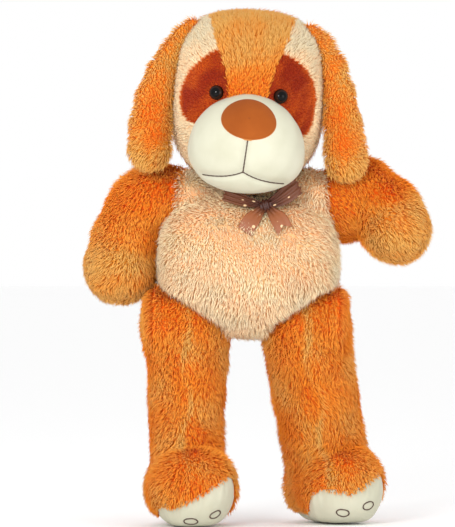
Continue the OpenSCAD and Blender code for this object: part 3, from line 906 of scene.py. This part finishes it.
def makeEye(side):
    name = sideName[side]
    spot = nodeMiddle("eye_" + name) + down * eye["drop"]
    low = nodeBox("eye_" + name)[0]
    q = inHead(np.array([[spot[0], low[1], spot[2]]]))[0]
    y = -0.16
    for step in range(60):
        y += 0.7 * float(skullLocal(np.array([[q[0], y, q[2]]]))[0])
    seat = np.array([[q[0], y, q[2]]])
    out = slope(skullLocal, seat)[0] * 0.75 + np.array([0, -0.25, 0])
    out = unit(out)
    across = unit(np.cross(out, np.array([0, 0, 1.0])))
    up = np.cross(across, out)
    profile = [(eye["radius"] * 0.9, -3 * mm), (eye["radius"], 0), (eye["radius"] * 1.02, eye["rim"])]
    for k in range(1, eye["rings"]):
        a = math.pi / 2 * k / eye["rings"]
        profile.append((eye["radius"] * math.cos(a), eye["rim"] + eye["dome"] * math.sin(a)))
    rings = []
    iris = []
    turn = np.linspace(0, 2 * math.pi, eye["around"], endpoint=False)
    for r, h in profile:
        rings.append(seat[0] + out * (h + 2 * mm) + np.outer(np.cos(turn) * r, across)
                     + np.outer(np.sin(turn) * r, up))
        iris += [r / eye["radius"]] * eye["around"]
    points = np.concatenate(rings)
    n = eye["around"]
    quads = [(i * n + k, i * n + (k + 1) % n, (i + 1) * n + (k + 1) % n, (i + 1) * n + k)
             for i in range(len(profile) - 1) for k in range(n)]
    top = len(points)
    points = np.concatenate([points, [seat[0] + out * (eye["rim"] + eye["dome"] + 2 * mm)],
                             [seat[0] + out * -1 * mm]])
    iris += [0, 1]
    last = (len(profile) - 1) * n
    tris = [(last + k, last + (k + 1) % n, top) for k in range(n)]
    tris += [((k + 1) % n, k, top + 1) for k in range(n)]
    obj = buildMesh("eyeDome_" + name, fromHead(points), [np.array(quads)[:, ::-1], np.array(tris)[:, ::-1]],
                    {"iris": np.array(iris)})
    # the locking washer on the eye's stem, on the inner side of the cloth
    rings = []
    for r, h in washer["profile"]:
        place = seat[0] + out * h * mm
        rings.append(place + np.outer(np.cos(turn) * r * mm, across) + np.outer(np.sin(turn) * r * mm, up))
    count = len(washer["profile"])
    quads = [(i % count * n + k, i % count * n + (k + 1) % n,
              (i + 1) % count * n + (k + 1) % n, (i + 1) % count * n + k)
             for i in range(count) for k in range(n)]
    ring = buildMesh("eyeWasher_" + name, fromHead(np.concatenate(rings)), [np.array(quads)], {})
    ring.data.materials.append(washerPlastic)
    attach(ring, "head")
    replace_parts(ring, "eye_washer_" + name)
    obj.data.materials.append(eyePlastic)
    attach(obj, "head")
    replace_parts(obj, "eye_" + name)


for side in (left, right):
    makeEye(side)

# ---- ears ----

ears = {
    right: {"line": [(14, 2, 8), (1, 0, -6), (-15, 0, -29), (-31, -3, -59),
                     (-42, -6, -94), (-47, -9, -134), (-49, -12, -168)],
            "wide": [11, 13, 15, 18, 22, 26, 28]},
    left: {"line": [(-14, 2, 12), (4, 0, -8), (18, -2, -37), (27, -4, -77),
                    (33, -8, -122), (36, -11, -157), (37, -12, -173)],
           "wide": [11, 13, 15, 19, 23, 25.5, 26]},
    "flat": 0.5,
}
for side in (left, right):
    name = sideName[side]
    root = joints["ear_%s_lift" % name]
    line = [root + np.array(p) * mm for p in ears[side]["line"]]
    wide = [w * mm for w in ears[side]["wide"]]
    middleY = root[1]

    def earShape(p, line=line, wide=wide, middleY=middleY):
        shifted = [q - np.array([0, middleY, 0]) for q in line]
        d = tube(p - np.array([0, middleY, 0]), shifted, wide, (1, ears["flat"], 1))
        return d * 0.6

    low = np.min(line, axis=0) - 0.05
    high = np.max(line, axis=0) + 0.05
    form = makeForm(earShape, low, high, 3.2 * mm)
    middles = faceMiddles(form)
    seamLine = np.interp(middles[:, 2], [q[2] for q in line[::-1]], [q[1] for q in line[::-1]])
    isFront = middles[:, 1] < seamLine
    lineX = lambda p: np.interp(p[:, 2], [q[2] for q in line[::-1]], [q[0] for q in line[::-1]])
    earTone = lambda p: (0.2 + 0.6 * smooth(1 - np.abs(p[:, 0] - lineX(p) + side * 4 * mm) / (26 * mm))
                         * smooth((root[2] - 0.03 - p[:, 2]) / 0.08)
                         + 0.25 * ripple(p, 0.05, 51) - 0.6 * smooth((line[-1][2] + 0.02 - p[:, 2]) / 0.03))
    fringe = lambda p: 1 + 0.35 * smooth((line[-1][2] + 0.01 - p[:, 2]) / 0.03)
    for part, chosen, node in (("Plush", isFront, "ear_cover_"), ("Lining", ~isFront, "ear_lining_")):
        obj = furPanel("ear" + part + "_" + name, form, chosen,
                       dict(longPile, spacing=2.2 * mm, length=10 * mm, lean=46,
                       wild=0.5, seed=52 + side), flow((0.25 * side, 0, -1)), earTone, orangePile, fringe)
        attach(obj, "ear_" + name)
        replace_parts(obj, node + name)
print("ears done")

# ---- arms ----

for side in (left, right):
    name = sideName[side]
    root = shoulders[side]
    line = [root + np.array(p) * mm for p in arms[side]["line"]]
    radii = [r * mm for r in arms[side]["radii"]]

    def armShape(p, line=line, radii=radii, side=side):
        inner = line[0] - np.array([side * arms["inset"][side], 0, 0])
        d = join(tube(p, line, radii), tube(p, [inner, line[0]], [arms["root"]] * 2), 8 * mm)
        return d + 1.5 * mm * ripple(p, 0.09, 61)

    low = np.min(line, axis=0) - 0.07
    high = np.max(line, axis=0) + 0.07
    form = makeForm(armShape, low, high, 4 * mm)
    middles = faceMiddles(form)
    isFront = middles[:, 1] < line[1][1]
    along = unit(line[3] - line[1])
    start = line[1]

    def armTone(p, start=start, along=along, side=side):
        q = p - start
        run = q @ along
        return 1.0 - 0.9 * smooth((run - 35 * mm) / (60 * mm)) + 0.35 * ripple(p, 0.07, 63)

    for part, chosen, node, stuffing in (("Front", isFront, "arm_front_cover_", []),
                                         ("Back", ~isFront, "arm_back_cover_", ["arm_stuffing_" + name])):
        obj = furPanel("arm" + part + "_" + name, form, chosen, dict(longPile, seed=64 + side),
                       flow(along + 0.15 * down), armTone, orangePile)
        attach(obj, "arm_" + name)
        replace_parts(obj, node + name, *stuffing)
print("arms done")

# ---- legs and feet ----

legs = {
    left: {"ankle": (33, 23, -194), "turn": 26, "radii": [57, 55, 53],
           "edgeLow": 46, "edgeAt": -16, "edgeRise": (0.53, 0.19)},
    right: {"ankle": (-1, -32, -194), "turn": 12, "radii": [57, 48, 46],
            "edgeLow": 27, "edgeAt": -40, "edgeRise": (0.56, 0.67)},
    "heel": 55 * mm,
    "toe": 61 * mm,
    "reach": 46 * mm,
    "heelBack": 12 * mm,
    "middleZ": 52 * mm,
    "seamZ": 122 * mm,
}
for side in (left, right):
    name = sideName[side]
    data = legs[side]
    hip = hips[side]
    ankle = hip + np.array(data["ankle"]) * mm
    turn = math.radians(data["turn"])
    heelAt = np.array([ankle[0], ankle[1] + legs["heelBack"], legs["middleZ"]])
    forward = np.array([math.sin(turn), -math.cos(turn), 0])
    across = np.array([math.cos(turn), math.sin(turn), 0])
    toeAt = heelAt + forward * legs["reach"]
    knee = (hip + ankle) / 2
    radii = [r * mm for r in data["radii"]]

    def legShape(p, hip=hip, knee=knee, ankle=ankle, radii=radii, heelAt=heelAt, toeAt=toeAt, side=side):
        q = p - hip
        aside = side * q[:, 0]
        above = np.maximum(q[:, 2], 0)
        below = np.maximum(-q[:, 2], 0)
        limit = legTop(aside, np.hypot(np.maximum(q[:, 1], 0), above)) - below
        d = np.maximum(tube(p, [hip, knee, ankle], radii), limit)
        thigh = legTop(aside, np.hypot(q[:, 1], q[:, 2])) + below * 0.25
        d = join(d, np.maximum(thigh, below - 30 * mm), 12 * mm)
        footD = tube(p, [heelAt, toeAt], [legs["heel"], legs["toe"]])
        d = join(d, footD, 9 * mm)
        d = carve(d, p[:, 2] - 1.5 * mm, 10 * mm)
        return d + 1.5 * mm * ripple(p, 0.1, 71)

    def soleEdge(p, data=data, toeAt=toeAt, heelAt=heelAt, across=across, forward=forward):
        # height of the line where the plush stops and the smooth sole starts
        q = p - toeAt
        u = q @ across / mm - data["edgeAt"]
        front = smooth((q @ forward + 0.01) / 0.05)
        rise = np.where(u > 0, data["edgeRise"][0], data["edgeRise"][1]) * np.abs(u)
        return (18 + front * (data["edgeLow"] - 18 + rise)) * mm

    low = np.minimum(np.minimum(hip, ankle), toeAt) - 0.08
    high = np.maximum(np.maximum(hip, ankle), heelAt) + 0.08
    low[2] = -5 * mm
    form = makeForm(legShape, low, high, 4 * mm)
    middles = faceMiddles(form)
    isSole = middles[:, 2] < soleEdge(middles)
    isFoot = ~isSole & (middles[:, 2] < legs["seamZ"])
    sideSeam = np.interp(middles[:, 2], [ankle[2], hip[2]], [ankle[1], hip[1]])
    isFront = ~isSole & ~isFoot & (middles[:, 1] < sideSeam + 3 * mm)
    isBack = ~isSole & ~isFoot & ~isFront

    def legToneAndHighlight(p, hip=hip, ankle=ankle):
        middleX = np.interp(p[:, 2], [ankle[2], hip[2]], [ankle[0], hip[0]])
        wander = p[:, 0] - middleX + 6 * mm * np.sin(p[:, 2] * 60)
        # painted highlight: a paler line wandering down the front middle of the leg stands in for light
        # catching the ridge of the nap there; the ripple is random tone
        ridgeHighlight = np.exp(-(wander / (5 * mm)) ** 2) * (p[:, 1] < hip[1])
        return 0.72 + 0.4 * ripple(p, 0.09, 73) - 0.6 * ridgeHighlight

    def footNap(p, toeAt=toeAt):
        return unit((p - toeAt) * np.array([1, 1, 0])) * 0.7 + down

    for part, chosen, node, stuffing, nap in (
            ("legFront_", isFront, "leg_front_cover_", [], flow((0.1 * side, -0.1, -1))),
            ("legBack_", isBack, "leg_back_cover_", ["leg_stuffing_" + name], flow((0, 0.1, -1))),
            ("footPlush_", isFoot, "foot_cover_", [], footNap)):
        shorter = lambda p: 1 - 0.45 * smooth(1 - (p[:, 2] - soleEdge(p)) / (14 * mm))
        obj = furPanel(part + name, form, chosen, dict(longPile, seed=74 + side), nap,
                       legToneAndHighlight, orangePile, shorter)
        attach(obj, "leg_" + name)
        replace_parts(obj, node + name, *stuffing)

    # the smooth sole: its own finer form, gathered into creases under the plush edge
    def soleShape(p, legShape=legShape, toeAt=toeAt, heelAt=heelAt, soleEdge=soleEdge):
        middle = (toeAt + heelAt) / 2
        q = p - middle
        turnAt = np.arctan2(q[:, 1], q[:, 0])
        edge = soleEdge(p)
        depth = np.clip(1 - (edge - p[:, 2]) / (34 * mm), 0, 1)
        creases = np.sin(turnAt * 23 + 2 * np.sin(turnAt * 5)) + 0.5 * np.sin(turnAt * 41)
        return legShape(p) + 1.0 * mm * depth * creases

    soleHigh = high.copy()
    soleHigh[2] = 100 * mm
    fine = makeForm(soleShape, low, soleHigh, 2.6 * mm)
    fineMiddles = faceMiddles(fine)
    chosen = (fineMiddles[:, 2] < soleEdge(fineMiddles) + 3 * mm) & (fineMiddles[:, 2] < 95 * mm)
    points, quads, outward, shape = fine
    kept, flat = np.unique(quads[chosen], return_inverse=True)
    cloth, clothQuads = thicken(points[kept], flat.reshape(-1, 4), outward[kept], 2 * mm)
    soleObj = buildMesh("soleVelboa_" + name, cloth, [clothQuads], {})
    soleObj.data.materials.append(whiteVelboa)
    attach(soleObj, "leg_" + name)
    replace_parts(soleObj, "sole_" + name)

    rings = []
    toeMarks = {left: [(-22, 19), (17, 29)], right: [(-12, 10), (24, 20)]}
    for u, z in toeMarks[side]:
        middle = toeAt + across * u * mm + forward * 90 * mm
        middle = np.array([[middle[0], middle[1], z * mm]])
        for step in range(50):
            middle = middle - forward * 0.8 * soleShape(middle)[:, None]
        steep = slope(soleShape, middle)
        upward = unit(np.cross(across, steep[0]))
        t = np.linspace(0, 2 * math.pi, 28, endpoint=False)
        ring = middle + np.outer(10 * mm * np.cos(t), across) + np.outer(6.5 * mm * np.sin(t), upward)
        for step in range(4):
            ring = ring - slope(soleShape, ring) * soleShape(ring)[:, None]
        rings.append(ring + slope(soleShape, ring) * 0.3 * mm)
    marks = threadTube("toeThread_" + name, rings, 0.95 * mm, closed=True)
    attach(marks, "leg_" + name)
    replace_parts(marks, "toe_threads_" + name)
print("legs done")

# ---- tail ----

tailRoot = joints["tail_wag"]
tail = {"tip": (0, 50, -20), "radii": (14, 11)}
tailLine = [tailRoot, tailRoot + np.array(tail["tip"]) * mm]
tailWidths = [r * mm for r in tail["radii"]]
tailForm = makeForm(lambda p: tube(p, tailLine, tailWidths), tailRoot - 0.05, tailRoot + 0.1, 3.2 * mm)
tailObj = furPanel("tailPlush", tailForm, np.ones(len(tailForm[1]), bool),
                   dict(longPile, length=10 * mm, seed=81),
                   flow(tail["tip"]), plushTone, orangePile)
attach(tailObj, "tail")
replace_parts(tailObj, "tail_cover", "tail_stuffing")

# ---- small pieces that stay as modelled ----

stitches = frame["nodes"]["closing_stitches"]
stitches.data.materials.clear()
stitches.data.materials.append(threadDark)

# ---- ribbon ----

knotAt = nodeMiddle("ribbon_knot")
bandLow = nodeBox("ribbon_band")[0]
ribbon = {
    "width": 25 * mm,
    "thickness": 0.5 * mm,
    "bandRadius": 50 * mm,
}


def organzaMaterial():
    # sheer woven ribbon: darker where it is gathered or double, with a few pale printed spots
    material, nodes, links, shader = newMaterial("organza")
    where = nodes.new("ShaderNodeTexCoord")
    gathered = nodes.new("ShaderNodeAttribute")
    gathered.attribute_name = "gathered"
    ramp = nodes.new("ShaderNodeValToRGB")
    ramp.color_ramp.elements[0].color = srgb(150, 84, 46)
    ramp.color_ramp.elements[1].color = srgb(64, 22, 6)
    links.new(gathered.outputs["Fac"], ramp.inputs["Fac"])
    spots = nodes.new("ShaderNodeTexVoronoi")
    spots.inputs["Scale"].default_value = 75
    spots.inputs["Randomness"].default_value = 0.8
    isSpot = nodes.new("ShaderNodeMapRange")
    isSpot.inputs["From Min"].default_value = 0.2
    isSpot.inputs["From Max"].default_value = 0.14
    links.new(where.outputs["Object"], spots.inputs["Vector"])
    links.new(spots.outputs["Distance"], isSpot.inputs["Value"])
    mix = nodes.new("ShaderNodeMix")
    mix.data_type = "RGBA"
    links.new(isSpot.outputs["Result"], mix.inputs["Factor"])
    links.new(ramp.outputs["Color"], mix.inputs["A"])
    mix.inputs["B"].default_value = srgb(232, 196, 150)
    links.new(mix.outputs["Result"], shader.inputs["Base Color"])
    weave = nodes.new("ShaderNodeTexWave")
    weave.inputs["Scale"].default_value = 420
    links.new(where.outputs["Object"], weave.inputs["Vector"])
    bump = nodes.new("ShaderNodeBump")
    bump.inputs["Strength"].default_value = 0.3
    bump.inputs["Distance"].default_value = 0.15 * mm
    links.new(weave.outputs["Fac"], bump.inputs["Height"])
    links.new(bump.outputs["Normal"], shader.inputs["Normal"])
    shader.inputs["Roughness"].default_value = 0.45
    shader.inputs["Alpha"].default_value = 0.86
    return material


organza = organzaMaterial()


def ribbonStrip(name, line, across, widths, gathered, pleat, notch=0.0, closed=False):
    # a strip of ribbon along a line, pleated where it is gathered
    line, across = np.array(line), unit(np.array(across, float))
    widths, gathered = np.array(widths), np.array(gathered)
    count, lanes = len(line), 15
    ahead = np.gradient(line, axis=0)
    if closed:
        ahead = np.roll(line, -1, axis=0) - np.roll(line, 1, axis=0)
    ahead = unit(ahead)
    face = unit(np.cross(ahead, across))
    v = np.linspace(-0.5, 0.5, lanes)
    points = line[:, None] + across[:, None] * (widths[:, None] * v)[:, :, None]
    wave = np.sin(v * 3.2 * 2 * math.pi)[None] * (pleat * gathered)[:, None]
    points = points + face[:, None] * wave[:, :, None]
    if notch:
        run = np.linspace(0, 1, count) ** 3
        points = points - ahead[:, None] * (notch * run[:, None] * (1 - np.abs(v) * 2)[None])[:, :, None]
    quads = []
    for i in range(count if closed else count - 1):
        for k in range(lanes - 1):
            nextRow = (i + 1) % count
            quads.append((i * lanes + k, i * lanes + k + 1, nextRow * lanes + k + 1, nextRow * lanes + k))
    points = points.reshape(-1, 3)
    outward = np.repeat(face, lanes, axis=0)
    lifted = points + outward * ribbon["thickness"] / 2
    cloth, faces = thicken(lifted, np.array(quads), outward, ribbon["thickness"])
    obj = buildMesh(name, cloth, [faces], {"gathered": np.tile(np.repeat(gathered, lanes), 2)})
    obj.data.materials.append(organza)
    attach(obj, "torso")
    return obj


bandMiddle = np.array([neck[0], neck[1], bandLow[2] + 3 * mm])
turn = np.linspace(0, 2 * math.pi, 120, endpoint=False)
ringLine = bandMiddle + np.stack([np.cos(turn), np.sin(turn), 0 * turn], axis=1) * ribbon["bandRadius"]
ringLine[:, 2] += 1.5 * mm * np.sin(3 * turn)
band = ribbonStrip("ribbonBand", ringLine, np.tile([0, 0, 1.0], (120, 1)), np.full(120, 12 * mm),
                   np.full(120, 1.0), 2.2 * mm, closed=True)
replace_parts(band, "ribbon_band")


def loopStrip(name, reach, lift, wide, open, side):
    t = np.linspace(0, 1, 60)
    out = np.sin(math.pi * t)
    line = knotAt + np.stack([side * reach * out, -open * np.sin(2 * math.pi * t) * (0.3 + out) - 1 * mm,
                              lift * out ** 1.3], axis=1)
    across = np.tile([-side * lift / reach * 0.7, 0, 1.0], (60, 1))
    widths = (0.5 + 0.5 * smooth(out * 1.3)) * wide
    gathered = 1 - 0.35 * smooth(out * 1.4)
    obj = ribbonStrip(name, line, across, widths, gathered, 2.4 * mm)
    return obj


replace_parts(loopStrip("ribbonLoop_right", 60 * mm, 17 * mm, 19 * mm, 5 * mm, right), "ribbon_loop_right")
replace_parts(loopStrip("ribbonLoop_left", 47 * mm, 31 * mm, 28 * mm, 6 * mm, left), "ribbon_loop_left")


def endStrip(name, tip, wide, curl, notch):
    t = np.linspace(0, 1, 40)
    tip = np.array(tip) * mm
    line = knotAt + np.outer(t, tip) + np.outer(np.sin(math.pi * t), [curl, -5 * mm, 0])
    flat = unit(np.cross(tip, [0, -1.0, 0.25]))
    widths = (0.42 + 0.58 * smooth(t * 1.8)) * wide
    gathered = 0.9 - 0.85 * smooth(t * 2.2)
    obj = ribbonStrip(name, line, np.tile(flat, (40, 1)), widths, gathered, 2.4 * mm, notch)
    return obj


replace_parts(endStrip("ribbonEnd_right", (-30, -18, -38), 24 * mm, -4 * mm, 0.0), "ribbon_end_right")
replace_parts(endStrip("ribbonEnd_left", (28, -18, -37), 25 * mm, 4 * mm, 9 * mm), "ribbon_end_left")


def knotShape(p):
    q = p - knotAt
    d = softBox(p, knotAt, (9 * mm, 7 * mm, 9.5 * mm), 2.3)
    return d + 0.9 * mm * np.sin(q[:, 0] * 1100 + q[:, 2] * 260 + 1)


points, quads, outward, shape = makeForm(knotShape, knotAt - 0.014, knotAt + 0.014, 0.9 * mm)
knotObj = buildMesh("ribbonKnot", points, [quads], {"gathered": np.full(len(points), 1.0)})
knotObj.data.materials.append(organza)
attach(knotObj, "torso")
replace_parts(knotObj, "ribbon_knot")
print("ribbon done")

# ---- floor, light and camera ----

view = {"distance": 6.0, "height": 0.379, "aside": -0.0438, "pictureHeight": 0.766, "sensor": 24}
bpy.ops.mesh.primitive_plane_add(size=120, location=(0, 2, 0))
floor = bpy.context.object
floor.name = "floor"
pale, nodes, links, shader = newMaterial("paleFloor")
shader.inputs["Base Color"].default_value = (0.97, 0.97, 0.97, 1)
shader.inputs["Roughness"].default_value = 0.9
floor.data.materials.append(pale)

world = bpy.data.worlds.new("studio")
bpy.context.scene.world = world
world.use_nodes = True
world.node_tree.nodes["Background"].inputs["Color"].default_value = (1, 1, 1, 1)
world.node_tree.nodes["Background"].inputs["Strength"].default_value = 1.0


def softLight(name, place, target, size, power):
    data = bpy.data.lights.new(name, "AREA")
    data.size = size
    data.energy = power
    obj = bpy.data.objects.new(name, data)
    bpy.context.scene.collection.objects.link(obj)
    obj.location = place
    obj.rotation_euler = (Vector(target) - Vector(place)).to_track_quat("-Z", "Y").to_euler()
    return obj


softLight("keyLight", (-0.9, -2.6, 1.0), (0, 0, 0.38), 0.7, 42)
softLight("fillLight", (1.7, -1.9, 0.6), (0, 0, 0.35), 1.2, 16)

cameraData = bpy.data.cameras.new("camera")
camera = bpy.data.objects.new("camera", cameraData)
bpy.context.scene.collection.objects.link(camera)
camera.location = (view["aside"], -view["distance"], view["height"])
camera.rotation_euler = (math.radians(90), 0, 0)
cameraData.sensor_fit = "VERTICAL"
cameraData.sensor_height = view["sensor"]
cameraData.lens = view["sensor"] * view["distance"] / view["pictureHeight"]
bpy.context.scene.camera = camera
bpy.context.scene.view_settings.view_transform = "Standard"

print("scene done")
